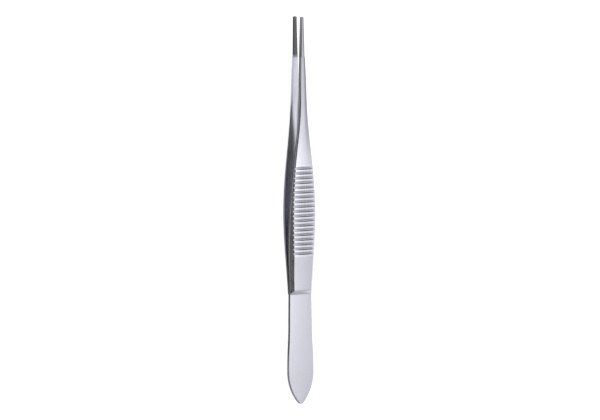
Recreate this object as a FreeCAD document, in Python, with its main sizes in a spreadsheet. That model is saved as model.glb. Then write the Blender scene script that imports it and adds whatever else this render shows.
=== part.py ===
import FreeCAD, Part

import math
import os

import Sketcher
from FreeCAD import Placement, Rotation, Vector

# Thumb forceps with grooved grips and serrated jaws, in millimetres.
#
# The instrument is two spring arms, an upper and a lower one, welded face to face over the leaf-shaped
# tail. Ahead of the tail each arm steps up to a thick spring root, swells into a grip with cross grooves,
# tapers to a slender shank and ends in a jaw with cross serrations on its inner face. The arms stand
# apart from the tail to the tips, and close by bending.
#
# Both arms are drawn alike, above the plane in which they meet: X runs across the arm, Y from the tail
# end to the tips, and Z away from the other arm. The lower arm is the same drawing turned over about the
# long axis. The finished pair lies as it comes to rest on a table, on its tail end and the bow of the
# lower grip, with the origin under the middle of its box.

# Driving dimensions: name, value and what it measures.
SIZES = (
    # Lengths along the arm, one after the other
    ("tail_length", 29.0, "tail point to the foot of the step"),
    ("spring_length", 10.2, "foot of the step to the start of the grip"),
    ("groove_count", 19, "cross grooves on the grip"),
    ("groove_pitch", 1.246, "from one groove to the next"),
    ("taper_length", 14.2, "end of the grip to the waist of the shank"),
    ("shank_length", 14.3, "waist of the shank to the jaw"),
    ("jaw_length", 10.6, "jaw to the tip"),
    # Tail
    ("plate_thickness", 0.55, "one arm over the tail, half of the welded tail"),
    ("belly_half_width", 3.93, "tail at its widest"),
    ("end_arc_radius", 12.2, "arcs that close the tail end"),
    ("tail_point_radius", 0.8, "rounding of the tail point"),
    ("flank_length", 13.0, "widest place to the neck of the tail"),
    ("neck_half_width", 3.5, "neck of the tail"),
    ("tail_edge_radius", 0.12, "rounding of the outer edge of the tail"),
    # Bow of the outer face over the grip
    ("bow_radius", 311.0, "outer line of the grip, seen from the side"),
    ("bow_peak_height", 2.6, "top of the bow above the meeting plane"),
    ("bow_peak_offset", 17.0, "start of the grip to the top of the bow"),
    # Sections: width, gap under the inner face, upright side, and height and crown of the outer face
    ("root_width", 6.8, "arm at the foot of the step"),
    ("root_top", 1.52, "outer face at the foot of the step, before the step is cut"),
    ("spring_width", 7.2, "arm halfway from the step to the grip"),
    ("spring_gap", 0.2, "meeting plane to the inner face halfway to the grip"),
    ("spring_side", 0.55, "upright side halfway to the grip"),
    ("spring_top", 1.78, "outer face halfway to the grip"),
    ("grip_start_width", 7.78, "arm at the first groove"),
    ("grip_start_gap", 0.42, "meeting plane to the inner face at the first groove"),
    ("grip_start_side", 0.55, "upright side at the first groove"),
    ("grip_middle_width", 7.82, "arm at the middle of the grip"),
    ("grip_middle_gap", 0.9, "meeting plane to the inner face at the middle of the grip"),
    ("grip_middle_side", 0.55, "upright side at the middle of the grip"),
    ("grip_end_width", 5.72, "arm at the last groove"),
    ("grip_end_gap", 1.58, "meeting plane to the inner face at the last groove"),
    ("grip_end_side", 0.38, "upright side at the last groove"),
    ("taper_width", 3.97, "arm halfway from the grip to the waist"),
    ("taper_gap", 1.78, "meeting plane to the inner face halfway to the waist"),
    ("taper_side", 0.3, "upright side halfway to the waist"),
    ("taper_top", 2.62, "outer face halfway to the waist"),
    ("waist_width", 2.62, "waist of the shank"),
    ("waist_gap", 1.87, "meeting plane to the inner face at the waist"),
    ("waist_side", 0.25, "upright side at the waist"),
    ("waist_top", 2.62, "outer face at the waist"),
    ("shank_width", 1.94, "arm halfway from the waist to the jaw"),
    ("shank_gap", 1.8, "meeting plane to the inner face halfway to the jaw"),
    ("shank_side", 0.23, "upright side halfway to the jaw"),
    ("shank_top", 2.5, "outer face halfway to the jaw"),
    ("shank_end_width", 1.5, "shank where the jaw begins"),
    ("shank_end_gap", 1.66, "meeting plane to the inner face where the jaw begins"),
    ("shank_end_side", 0.22, "upright side where the jaw begins"),
    ("shank_end_top", 2.3, "outer face where the jaw begins"),
    ("shank_crown", 0.1, "crown of the outer face, which is flat over the grip"),
    # Jaw
    ("jaw_width", 1.12, "jaw at its root"),
    ("jaw_gap", 1.2, "meeting plane to the serrated face at the root of the jaw"),
    ("jaw_side", 0.7, "upright side at the root of the jaw"),
    ("jaw_top", 2.24, "outer face at the root of the jaw"),
    ("tip_width", 0.74, "tip"),
    ("tip_gap", 1.28, "meeting plane to the serrated face at the tip"),
    ("tip_side", 0.66, "upright side at the tip"),
    ("tip_top", 2.12, "outer face at the tip"),
    ("tip_dome", 0.16, "how far the end of the tip is domed, seen from above"),
    ("jaw_crown", 0.05, "crown of the outer face of the jaw"),
    # Grooves and serrations
    ("groove_depth", 0.4, "grip groove"),
    ("groove_land", 0.09, "flat left on the crest between two grooves"),
    ("groove_arc_radius", 0.75, "rounded flank of a grip groove"),
    ("tooth_count", 20, "serrations on one jaw"),
    ("tooth_margin", 0.3, "plain end of the row of serrations"),
    ("tooth_depth", 0.14, "serration"),
    ("tooth_land_share", 0.2, "share of the pitch left flat on a tooth"),
)

# How far a cutting profile runs past the face that it cuts, so that no skin is left
CUT_CLEARANCE = 0.6

# Width of the profile that domes the tip, as a share of the tip's own width
TIP_CUT_SHARE = 1.2

# Places along the arm, worked out from the lengths
SPRING_MIDDLE = "(Sizes.tail_length + Sizes.spring_length / 2)"
GRIP_START = "(Sizes.tail_length + Sizes.spring_length)"
GRIP_LENGTH = "(Sizes.groove_count * Sizes.groove_pitch)"
GRIP_MIDDLE = f"({GRIP_START} + {GRIP_LENGTH} / 2)"
GRIP_END = f"({GRIP_START} + {GRIP_LENGTH})"
TAPER_MIDDLE = f"({GRIP_END} + Sizes.taper_length / 2)"
WAIST = f"({GRIP_END} + Sizes.taper_length)"
SHANK_MIDDLE = f"({WAIST} + Sizes.shank_length / 2)"
JAW_START = f"({WAIST} + Sizes.shank_length)"
TIP = f"({JAW_START} + Sizes.jaw_length)"

# Centre of the bow, which the grip's sections and its grooves share
BOW_STATION = f"({GRIP_START} + Sizes.bow_peak_offset)"
BOW_HEIGHT = "(Sizes.bow_peak_height - Sizes.bow_radius)"

# Pitch of the serrations, which fill the jaw between two plain margins
TOOTH_PITCH = "((Sizes.jaw_length - 2 * Sizes.tooth_margin) / Sizes.tooth_count)"

doc = FreeCAD.newDocument("ThumbForceps")
sheet = doc.addObject("Spreadsheet::Sheet", "Sizes")
for row, (alias, value, note) in enumerate(SIZES, start=1):
    sheet.set(f"A{row}", alias)
    sheet.set(f"B{row}", str(value))
    sheet.setAlias(f"B{row}", alias)
    sheet.set(f"C{row}", note)
doc.recompute()


def worth(expression):
    """The present value of an expression over the sheet."""
    return float(sheet.evalExpression(expression))


def bow_top(station):
    """Expression for the height of the bow at a station."""
    return f"({BOW_HEIGHT} + sqrt(Sizes.bow_radius ^ 2 - ({station} - {BOW_STATION}) ^ 2))"


def origin_plane(body, role):
    """One of the body's own origin planes."""
    return next(feature for feature in body.Origin.OriginFeatures if feature.Role == role)


def new_sketch(body, name, role):
    """An empty sketch on one of the body's origin planes."""
    sketch = body.newObject("Sketcher::SketchObject", name)
    sketch.AttachmentSupport = (origin_plane(body, role), "")
    sketch.MapMode = "FlatFace"
    return sketch


def line(start, end):
    """A straight sketch edge."""
    return Part.LineSegment(Vector(*start, 0), Vector(*end, 0))


def arc(centre, start, end):
    """A sketch arc that runs anticlockwise about its centre from start to end."""
    middle = Vector(*centre, 0)
    out = Vector(*start, 0) - middle
    back = Vector(*end, 0) - middle
    circle = Part.Circle(middle, Vector(0, 0, 1), out.Length)
    return Part.ArcOfCircle(circle, math.atan2(out.y, out.x), math.atan2(back.y, back.x))


def arc_centre(start, end, radius):
    """Centre of the arc of this radius that runs anticlockwise from start to end."""
    chord = Vector(*end, 0) - Vector(*start, 0)
    rise = math.sqrt(radius ** 2 - (chord.Length / 2) ** 2)
    left = Vector(-chord.y, chord.x, 0).normalize()
    centre = Vector(*start, 0) + chord * 0.5 + left * rise
    return centre.x, centre.y


def join(sketch, *corners):
    """Make edge ends coincide, each corner given as edge, end, edge, end."""
    for corner in corners:
        sketch.addConstraint(Sketcher.Constraint("Coincident", *corner))


def dimension(sketch, name, kind, *where, size):
    """Add a driving dimension, name it and bind it to the sheet."""
    index = sketch.addConstraint(Sketcher.Constraint(kind, *where, worth(size)))
    sketch.renameConstraint(index, name)
    sketch.setExpression(f"Constraints.{name}", size)


def edge_names(feature, wanted):
    """Names of the feature's edges that pass a test."""
    edges = feature.Shape.Edges
    return [f"Edge{number}" for number, edge in enumerate(edges, start=1) if wanted(edge)]


def tail_sketch(body):
    """Right half of the leaf: a rounded point, an end arc, an S-shaped flank, a neck and the root."""
    belly = worth("Sizes.belly_half_width")
    neck = worth("Sizes.neck_half_width")
    root = worth("Sizes.root_width / 2")
    length = worth("Sizes.tail_length")
    end_radius = worth("Sizes.end_arc_radius")
    point_radius = worth("Sizes.tail_point_radius")
    flank = worth("Sizes.flank_length")
    reach = end_radius - point_radius
    belly_station = point_radius + math.sqrt(reach ** 2 - (end_radius - belly) ** 2)
    end_centre = (belly - end_radius, belly_station)
    shift = ((end_radius - belly) / reach, (point_radius - belly_station) / reach)
    touch = (point_radius * shift[0], point_radius * (1 + shift[1]))
    flank_radius = (flank ** 2 + (belly - neck) ** 2) / (4 * (belly - neck))
    turn = ((belly + neck) / 2, belly_station + flank / 2)
    neck_station = belly_station + flank

    sketch = new_sketch(body, "TailOutline", "XY_Plane")
    sketch.addGeometry(arc(end_centre, touch, (belly, belly_station)))
    sketch.addGeometry(arc((belly - flank_radius, belly_station), (belly, belly_station), turn))
    sketch.addGeometry(arc((neck + flank_radius, neck_station), (neck, neck_station), turn))
    sketch.addGeometry(line((neck, neck_station), (root, length)))
    sketch.addGeometry(line((root, length), (0, length)))
    sketch.addGeometry(line((0, length), (0, 0)))
    sketch.addGeometry(arc((0, point_radius), (0, 0), touch))

    join(sketch, (0, 2, 1, 1), (2, 1, 3, 1), (3, 2, 4, 1), (4, 2, 5, 1), (5, 2, 6, 1), (5, 2, -1, 1))
    sketch.addConstraint(Sketcher.Constraint("Tangent", 6, 2, 0, 1))
    sketch.addConstraint(Sketcher.Constraint("Tangent", 1, 2, 2, 2))
    sketch.addConstraint(Sketcher.Constraint("Equal", 1, 2))
    sketch.addConstraint(Sketcher.Constraint("PointOnObject", 6, 3, -2))
    sketch.addConstraint(Sketcher.Constraint("Horizontal", 0, 3, 0, 2))
    sketch.addConstraint(Sketcher.Constraint("Horizontal", 1, 3, 1, 1))
    sketch.addConstraint(Sketcher.Constraint("Horizontal", 2, 3, 2, 1))
    sketch.addConstraint(Sketcher.Constraint("Horizontal", 4))
    sketch.addConstraint(Sketcher.Constraint("Vertical", 5))
    dimension(sketch, "end_arc", "Radius", 0, size="Sizes.end_arc_radius")
    dimension(sketch, "point", "Radius", 6, size="Sizes.tail_point_radius")
    dimension(sketch, "belly", "DistanceX", -1, 1, 0, 2, size="Sizes.belly_half_width")
    dimension(sketch, "neck", "DistanceX", -1, 1, 3, 1, size="Sizes.neck_half_width")
    dimension(sketch, "flank", "DistanceY", 0, 2, 3, 1, size="Sizes.flank_length")
    dimension(sketch, "root", "DistanceX", -1, 1, 3, 2, size="Sizes.root_width / 2")
    dimension(sketch, "length", "DistanceY", -1, 1, 3, 2, size="Sizes.tail_length")
    return sketch


def section_sketch(body, label, station, width, gap, side, top, crown=None):
    """One section of an arm: flat inner face, upright sides, 45 degree bevels, flat or crowned outer face."""
    rise = worth(crown) if crown else 0
    half = worth(width) / 2
    inner = worth(gap)
    shoulder = inner + worth(side)
    corner = worth(top) - rise
    face = half - (corner - shoulder)

    sketch = new_sketch(body, f"{label}Section", "XZ_Plane")
    sketch.setExpression("AttachmentOffset.Base.z", f"-{station}")
    sketch.addGeometry(line((-half, inner), (half, inner)))
    sketch.addGeometry(line((half, inner), (half, shoulder)))
    sketch.addGeometry(line((half, shoulder), (face, corner)))
    if crown:
        centre_drop = (face ** 2 - rise ** 2) / (2 * rise)
        sketch.addGeometry(arc((0, corner - centre_drop), (face, corner), (-face, corner)))
    else:
        sketch.addGeometry(line((face, corner), (-face, corner)))
    sketch.addGeometry(line((-face, corner), (-half, shoulder)))
    sketch.addGeometry(line((-half, shoulder), (-half, inner)))

    join(sketch, (0, 2, 1, 1), (1, 2, 2, 1), (2, 2, 3, 1), (3, 2, 4, 1), (4, 2, 5, 1), (5, 2, 0, 1))
    sketch.addConstraint(Sketcher.Constraint("Symmetric", 0, 1, 0, 2, -2))
    sketch.addConstraint(Sketcher.Constraint("Symmetric", 2, 2, 4, 1, -2))
    sketch.addConstraint(Sketcher.Constraint("Vertical", 1))
    sketch.addConstraint(Sketcher.Constraint("Vertical", 5))
    sketch.addConstraint(Sketcher.Constraint("Equal", 1, 5))
    sketch.addConstraint(Sketcher.Constraint("Angle", 2, math.radians(135)))
    dimension(sketch, "width", "DistanceX", 0, 1, 0, 2, size=width)
    dimension(sketch, "gap", "DistanceY", -1, 1, 0, 1, size=gap)
    dimension(sketch, "side", "DistanceY", 1, 1, 1, 2, size=side)
    if crown:
        dimension(sketch, "corner", "DistanceY", -1, 1, 2, 2, size=f"{top} - {crown}")
        half_face = f"({width} / 2 - ({top} - {crown} - {gap} - {side}))"
        dimension(sketch, "crown", "Radius", 3, size=f"({half_face} ^ 2 + {crown} ^ 2) / (2 * {crown})")
    else:
        dimension(sketch, "corner", "DistanceY", -1, 1, 2, 2, size=top)
    return sketch


def named_section(body, label, name, station, top=None, crown=None):
    """A section whose sizes carry one name in the sheet."""
    return section_sketch(body, label, station, f"Sizes.{name}_width", f"Sizes.{name}_gap",
                          f"Sizes.{name}_side", top or f"Sizes.{name}_top", crown)


def loft(body, name, sections):
    """Join sections, in order along the arm, into one smooth solid."""
    feature = body.newObject("PartDesign::AdditiveLoft", name)
    feature.Profile = sections[0]
    feature.Sections = sections[1:]
    doc.recompute()
    return feature


def pocket(body, name, sketch):
    """Cut a profile right through the body, to both sides of its sketch."""
    before = body.Shape.Volume
    feature = body.newObject("PartDesign::Pocket", name)
    feature.Profile = sketch
    feature.SideType = "Symmetric"
    feature.Type = "ThroughAll"
    doc.recompute()
    if not body.Shape.Volume < before:
        raise RuntimeError(f"{name} removed nothing")
    return feature


def add_tail(body):
    """Leaf-shaped plate of the tail, with its outer edge rounded."""
    plate = body.newObject("PartDesign::Pad", "TailPlate")
    plate.Profile = tail_sketch(body)
    plate.setExpression("Length", "Sizes.plate_thickness")
    doc.recompute()

    leaf = body.newObject("PartDesign::Mirrored", "TailLeaf")
    leaf.Originals = [plate]
    leaf.MirrorPlane = (origin_plane(body, "YZ_Plane"), [""])
    body.Tip = leaf
    doc.recompute()

    def on_outer_outline(edge):
        box = edge.BoundBox
        on_top = box.ZMin > worth("Sizes.plate_thickness") / 2
        return on_top and box.YMin < worth("Sizes.tail_length") - 1e-6

    rim = body.newObject("PartDesign::Fillet", "TailRim")
    rim.Base = (leaf, edge_names(leaf, on_outer_outline))
    rim.setExpression("Radius", "Sizes.tail_edge_radius")
    doc.recompute()


def add_arm(body):
    """Smooth arm from the root to the jaw, with the 45 degree step down to the tail ground at its root."""
    sections = [
        section_sketch(body, "Root", "Sizes.tail_length", "Sizes.root_width", "0",
                       "Sizes.plate_thickness", "Sizes.root_top"),
        named_section(body, "Spring", "spring", SPRING_MIDDLE),
        named_section(body, "GripStart", "grip_start", GRIP_START, top=bow_top(GRIP_START)),
        named_section(body, "GripMiddle", "grip_middle", GRIP_MIDDLE, top=bow_top(GRIP_MIDDLE)),
        named_section(body, "GripEnd", "grip_end", GRIP_END, top=bow_top(GRIP_END)),
        named_section(body, "Taper", "taper", TAPER_MIDDLE, crown="Sizes.shank_crown"),
        named_section(body, "Waist", "waist", WAIST, crown="Sizes.shank_crown"),
        named_section(body, "Shank", "shank", SHANK_MIDDLE, crown="Sizes.shank_crown"),
        named_section(body, "ShankEnd", "shank_end", JAW_START, crown="Sizes.shank_crown"),
    ]
    loft(body, "ArmLoft", sections)

    foot = (worth("Sizes.tail_length"), worth("Sizes.plate_thickness"))
    rise = worth("Sizes.root_top") - foot[1] + CUT_CLEARANCE
    sketch = new_sketch(body, "StepProfile", "YZ_Plane")
    sketch.addGeometry(line(foot, (foot[0] + rise, foot[1] + rise)))
    sketch.addGeometry(line((foot[0] + rise, foot[1] + rise), (foot[0] - CUT_CLEARANCE, foot[1] + rise)))
    sketch.addGeometry(line((foot[0] - CUT_CLEARANCE, foot[1] + rise), foot))
    join(sketch, (0, 2, 1, 1), (1, 2, 2, 1), (2, 2, 0, 1))
    sketch.addConstraint(Sketcher.Constraint("Angle", 0, math.radians(45)))
    sketch.addConstraint(Sketcher.Constraint("Horizontal", 1))
    dimension(sketch, "foot_place", "DistanceX", -1, 1, 0, 1, size="Sizes.tail_length")
    dimension(sketch, "foot_height", "DistanceY", -1, 1, 0, 1, size="Sizes.plate_thickness")
    dimension(sketch, "rise", "DistanceY", 0, 1, 0, 2,
              size=f"Sizes.root_top - Sizes.plate_thickness + {CUT_CLEARANCE}")
    dimension(sketch, "back", "DistanceX", 1, 2, 0, 1, size=str(CUT_CLEARANCE))
    pocket(body, "StepCut", sketch)


def add_jaw(body):
    """Tapered jaw that stands proud of the shank's inner face, its end domed seen from above."""
    loft(body, "JawLoft", [
        named_section(body, "Jaw", "jaw", JAW_START, crown="Sizes.jaw_crown"),
        named_section(body, "Tip", "tip", TIP, crown="Sizes.jaw_crown"),
    ])

    dome_radius = "(((Sizes.tip_width / 2) ^ 2 + Sizes.tip_dome ^ 2) / (2 * Sizes.tip_dome))"
    radius = worth(dome_radius)
    centre = worth(TIP) - radius
    half = worth("Sizes.tip_width") * TIP_CUT_SHARE / 2
    skirt = centre + math.sqrt(radius ** 2 - half ** 2)
    lid = skirt + worth("Sizes.tip_dome") + CUT_CLEARANCE
    sketch = new_sketch(body, "TipOutline", "XY_Plane")
    sketch.addGeometry(arc((0, centre), (half, skirt), (-half, skirt)))
    sketch.addGeometry(line((-half, skirt), (-half, lid)))
    sketch.addGeometry(line((-half, lid), (half, lid)))
    sketch.addGeometry(line((half, lid), (half, skirt)))
    join(sketch, (0, 2, 1, 1), (1, 2, 2, 1), (2, 2, 3, 1), (3, 2, 0, 1))
    sketch.addConstraint(Sketcher.Constraint("Symmetric", 0, 1, 0, 2, -2))
    sketch.addConstraint(Sketcher.Constraint("Vertical", 1))
    sketch.addConstraint(Sketcher.Constraint("Vertical", 3))
    sketch.addConstraint(Sketcher.Constraint("Horizontal", 2))
    dimension(sketch, "dome", "Radius", 0, size=dome_radius)
    dimension(sketch, "centre", "DistanceY", -1, 1, 0, 3, size=f"{TIP} - {dome_radius}")
    dimension(sketch, "reach", "DistanceX", 1, 1, 3, 2, size=f"Sizes.tip_width * {TIP_CUT_SHARE}")
    dimension(sketch, "lid", "DistanceY", 1, 1, 1, 2, size=f"Sizes.tip_dome + {CUT_CLEARANCE}")
    pocket(body, "TipDome", sketch)


def add_grooves(body):
    """Cross grooves of the grip, turned from one to the next about the centre of the bow."""
    half = worth("(Sizes.groove_pitch - Sizes.groove_land) / 2")
    bow = worth("Sizes.bow_radius")
    floor = bow - worth("Sizes.groove_depth")
    radius = worth("Sizes.groove_arc_radius")
    left_centre = arc_centre((0, floor), (-half, bow), radius)
    right_centre = (-left_centre[0], left_centre[1])
    lid = bow + CUT_CLEARANCE
    first_angle = f"({BOW_STATION} - {GRIP_START} - Sizes.groove_pitch / 2) / Sizes.bow_radius * 180 / pi"

    sketch = new_sketch(body, "GrooveProfile", "YZ_Plane")
    sketch.AttachmentOffset = Placement(Vector(), Rotation(Vector(0, 0, 1), worth(first_angle)))
    sketch.setExpression("AttachmentOffset.Base.x", BOW_STATION)
    sketch.setExpression("AttachmentOffset.Base.y", BOW_HEIGHT)
    sketch.setExpression("AttachmentOffset.Rotation.Angle", first_angle)
    sketch.addGeometry(arc(left_centre, (0, floor), (-half, bow)))
    sketch.addGeometry(line((-half, bow), (-half, lid)))
    sketch.addGeometry(line((-half, lid), (half, lid)))
    sketch.addGeometry(line((half, lid), (half, bow)))
    sketch.addGeometry(arc(right_centre, (half, bow), (0, floor)))
    join(sketch, (0, 2, 1, 1), (1, 2, 2, 1), (2, 2, 3, 1), (3, 2, 4, 1), (4, 2, 0, 1))
    sketch.addConstraint(Sketcher.Constraint("PointOnObject", 0, 1, -2))
    sketch.addConstraint(Sketcher.Constraint("Symmetric", 0, 2, 4, 1, -2))
    sketch.addConstraint(Sketcher.Constraint("Vertical", 1))
    sketch.addConstraint(Sketcher.Constraint("Vertical", 3))
    sketch.addConstraint(Sketcher.Constraint("Horizontal", 2))
    sketch.addConstraint(Sketcher.Constraint("Equal", 0, 4))
    dimension(sketch, "flank", "Radius", 0, size="Sizes.groove_arc_radius")
    dimension(sketch, "mouth", "DistanceX", 0, 2, 4, 1, size="Sizes.groove_pitch - Sizes.groove_land")
    dimension(sketch, "depth", "DistanceY", 0, 1, 0, 2, size="Sizes.groove_depth")
    dimension(sketch, "bow", "DistanceY", -1, 1, 0, 2, size="Sizes.bow_radius")
    dimension(sketch, "lid", "DistanceY", 1, 1, 1, 2, size=str(CUT_CLEARANCE))
    groove = pocket(body, "FirstGroove", sketch)

    grooves = body.newObject("PartDesign::PolarPattern", "Grooves")
    grooves.Originals = [groove]
    grooves.Axis = (sketch, ["N_Axis"])
    grooves.Reversed = True
    grooves.setExpression("Angle", "(Sizes.groove_count - 1) * Sizes.groove_pitch / Sizes.bow_radius * 180 / pi")
    grooves.setExpression("Occurrences", "Sizes.groove_count")
    body.Tip = grooves
    doc.recompute()


def add_serrations(body, shift, count):
    """Cross serrations on the jaw's inner face, the row moved on by a share of the pitch."""
    slope = "atan((Sizes.tip_gap - Sizes.jaw_gap) / Sizes.jaw_length)"
    row_start = f"(Sizes.tooth_margin + {TOOTH_PITCH} * (0.5 + {shift}))"
    depth = worth("Sizes.tooth_depth")
    mouth = f"({TOOTH_PITCH} * (1 - Sizes.tooth_land_share))"
    spread = f"{mouth} * (Sizes.tooth_depth + {CUT_CLEARANCE}) / Sizes.tooth_depth"
    half = worth(spread) / 2

    sketch = new_sketch(body, "SerrationProfile", "YZ_Plane")
    sketch.AttachmentOffset = Placement(Vector(), Rotation(Vector(0, 0, 1), worth(slope)))
    sketch.setExpression("AttachmentOffset.Base.x", f"{JAW_START} + {row_start}")
    sketch.setExpression("AttachmentOffset.Base.y", f"Sizes.jaw_gap + {row_start} * tan({slope})")
    sketch.setExpression("AttachmentOffset.Rotation.Angle", slope)
    sketch.addGeometry(line((-half, -CUT_CLEARANCE), (half, -CUT_CLEARANCE)))
    sketch.addGeometry(line((half, -CUT_CLEARANCE), (0, depth)))
    sketch.addGeometry(line((0, depth), (-half, -CUT_CLEARANCE)))
    join(sketch, (0, 2, 1, 1), (1, 2, 2, 1), (2, 2, 0, 1))
    sketch.addConstraint(Sketcher.Constraint("PointOnObject", 1, 2, -2))
    sketch.addConstraint(Sketcher.Constraint("Symmetric", 0, 1, 0, 2, -2))
    dimension(sketch, "depth", "DistanceY", -1, 1, 1, 2, size="Sizes.tooth_depth")
    dimension(sketch, "below", "DistanceY", 0, 1, -1, 1, size=str(CUT_CLEARANCE))
    dimension(sketch, "spread", "DistanceX", 0, 1, 0, 2, size=spread)
    serration = pocket(body, "FirstSerration", sketch)

    row = body.newObject("PartDesign::LinearPattern", "Serrations")
    row.Originals = [serration]
    row.Direction = (sketch, ["H_Axis"])
    row.setExpression("Length", f"({count} - 1) * {TOOTH_PITCH}")
    row.setExpression("Occurrences", count)
    body.Tip = row
    doc.recompute()


def build_arm(label, shift, count):
    """One whole arm as a body of its own."""
    body = doc.addObject("PartDesign::Body", label)
    body.Label = label
    add_tail(body)
    add_arm(body)
    add_jaw(body)
    add_grooves(body)
    add_serrations(body, shift, count)
    return body


def resting_tilt():
    """Angle in degrees that lays the tail end and the bow of the lower arm on one level."""
    to_centre = Vector(0, worth(BOW_STATION), worth("Sizes.bow_radius - Sizes.bow_peak_height"))
    to_centre -= Vector(0, 0, -worth("Sizes.plate_thickness"))
    slope = math.atan2(to_centre.z, to_centre.y)
    tangent = slope - math.asin(worth("Sizes.bow_radius") / to_centre.Length)
    return -math.degrees(tangent)


# The teeth of one jaw stand opposite the grooves of the other, so that row is half a pitch further on
upper_arm = build_arm("upper_arm", "0", "Sizes.tooth_count")
lower_arm = build_arm("lower_arm", "0.5", "Sizes.tooth_count - 1")

# Lay the pair at rest: the lower arm is turned over, and both lean on the tail end and the bow
rest = Rotation(Vector(1, 0, 0), resting_tilt())
upper_arm.Placement = Placement(Vector(), rest)
lower_arm.Placement = Placement(Vector(), rest * Rotation(Vector(0, 1, 0), 180))
doc.recompute()
box = FreeCAD.BoundBox()
for arm in (upper_arm, lower_arm):
    box.add(arm.Shape.optimalBoundingBox(False))
seat = Vector(0, -(box.YMin + box.YMax) / 2, -box.ZMin)
for arm in (upper_arm, lower_arm):
    arm.Placement.Base = seat
doc.recompute()

for item in doc.Objects:
    if "Invalid" in item.State or "Error" in item.State:
        raise RuntimeError(f"{item.Label} failed to compute")
for arm in (upper_arm, lower_arm):
    if arm.Shape.isNull() or not arm.Shape.isValid() or len(arm.Shape.Solids) != 1:
        raise RuntimeError(f"{arm.Label} isn't one sound solid")

os.makedirs("parts", exist_ok=True)
for arm in (upper_arm, lower_arm):
    arm.Shape.exportStep(f"parts/{arm.Label}.step")
    print(arm.Label, round(arm.Shape.Volume, 2), arm.Shape.CenterOfGravity, arm.Shape.BoundBox)
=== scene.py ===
"""Thumb forceps with grooved grips and serrated jaws, dressed for the picture.

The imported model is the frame. Each of its two arms is replaced by a finer surface of the same shape and
size, worked out in millimetres in the arm's own frame: X across the arm, Y from the tail end to the tips
and Z away from the other arm. The lower arm is the same drawing turned over about the long axis, and the
pair leans on its tail end and on the bow of the lower grip.
"""

from __future__ import annotations

import logging
import math
from dataclasses import dataclass, field
from enum import Enum

import bmesh
import bpy
import numpy as np
from mathutils import Matrix, Vector

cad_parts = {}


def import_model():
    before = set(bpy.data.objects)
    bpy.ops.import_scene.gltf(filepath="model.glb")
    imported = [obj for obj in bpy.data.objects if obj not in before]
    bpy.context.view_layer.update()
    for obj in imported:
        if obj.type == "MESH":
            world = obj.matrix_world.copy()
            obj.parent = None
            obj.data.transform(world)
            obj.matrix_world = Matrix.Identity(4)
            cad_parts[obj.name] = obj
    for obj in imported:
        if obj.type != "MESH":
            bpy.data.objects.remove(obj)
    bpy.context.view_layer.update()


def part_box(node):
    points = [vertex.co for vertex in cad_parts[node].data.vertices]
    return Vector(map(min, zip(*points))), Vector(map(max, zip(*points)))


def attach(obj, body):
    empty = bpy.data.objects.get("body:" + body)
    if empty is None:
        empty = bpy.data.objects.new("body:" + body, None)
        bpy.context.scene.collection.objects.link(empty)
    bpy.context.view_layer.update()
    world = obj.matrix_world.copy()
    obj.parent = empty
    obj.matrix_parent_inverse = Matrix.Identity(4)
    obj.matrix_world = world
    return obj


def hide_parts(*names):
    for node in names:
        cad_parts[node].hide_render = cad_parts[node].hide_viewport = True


log = logging.getLogger("forceps")

MM = 0.001

# The least divisors for widths and for legs, and the share from which a point lies wholly in a zone.
TINY = 1e-6
SHORTEST = 1e-9
FULL_ZONE = 0.9


class Member(Enum):
    """The two arms, by the names of their solids."""

    UPPER = "upper_arm"
    LOWER = "lower_arm"


def soft_min(first: np.ndarray, second: np.ndarray, blend: float) -> np.ndarray:
    """The lesser of two heights, rounded where they cross.

    Half of the sum, less half of the root of the difference squared plus the blend squared.

    Args:
        first: Heights.
        second: Heights of the same shape.
        blend: How wide the rounding is, in the unit of the heights.

    Returns:
        The rounded lesser height.
    """
    return 0.5 * (first + second - np.sqrt((first - second) ** 2 + blend**2))


def smooth_step(at: np.ndarray, start: float, end: float) -> np.ndarray:
    """Rises from 0 at start to 1 at end as three t squared less two t cubed."""
    t = np.clip((at - start) / (end - start), 0.0, 1.0)
    return t * t * (3.0 - 2.0 * t)


def colour(red: float, green: float, blue: float) -> tuple[float, float, float, float]:
    """A full colour with no transparency."""
    return red, green, blue, 1.0


def new_object(name: str, data: bpy.types.ID) -> bpy.types.Object:
    """Adds an object to the scene, at the origin.

    Args:
        name: Its name.
        data: Its mesh, lamp or camera.

    Returns:
        The object.
    """
    item = bpy.data.objects.new(name, data)
    bpy.context.scene.collection.objects.link(item)
    return item


@dataclass(frozen=True)
class Curve:
    """Natural cubic spline through a few values, which keeps its end values outside its knots.

    Its bending moments come from one system of linear equations, each saying that the slope is the same on
    both sides of a knot, with no moment at the two ends.
    """

    knots: np.ndarray
    values: np.ndarray

    def __call__(self, at: np.ndarray) -> np.ndarray:
        """Values of the spline.

        Args:
            at: Places along the knots' axis.

        Returns:
            One value for each place.
        """
        span = np.diff(self.knots)
        rise = np.diff(self.values) / span
        count = len(self.knots)
        system = np.eye(count)
        inner = np.arange(1, count - 1)
        system[inner, inner - 1] = span[:-1]
        system[inner, inner] = 2.0 * (span[:-1] + span[1:])
        system[inner, inner + 1] = span[1:]
        load = np.zeros(count)
        load[inner] = 6.0 * np.diff(rise)
        moment = np.linalg.solve(system, load)

        place = np.clip(at, self.knots[0], self.knots[-1])
        left = np.clip(np.searchsorted(self.knots, place, side="right") - 1, 0, count - 2)
        width = span[left]
        to_left = place - self.knots[left]
        to_right = self.knots[left + 1] - place
        bend = moment[left] * to_right**3 + moment[left + 1] * to_left**3
        near = (self.values[left] / width - moment[left] * width / 6.0) * to_right
        far = (self.values[left + 1] / width - moment[left + 1] * width / 6.0) * to_left
        return bend / (6.0 * width) + near + far


@dataclass(frozen=True)
class Station:
    """Section of an arm at one place along it, in millimetres."""

    along: float
    width: float
    gap: float
    side: float
    top: float


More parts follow.
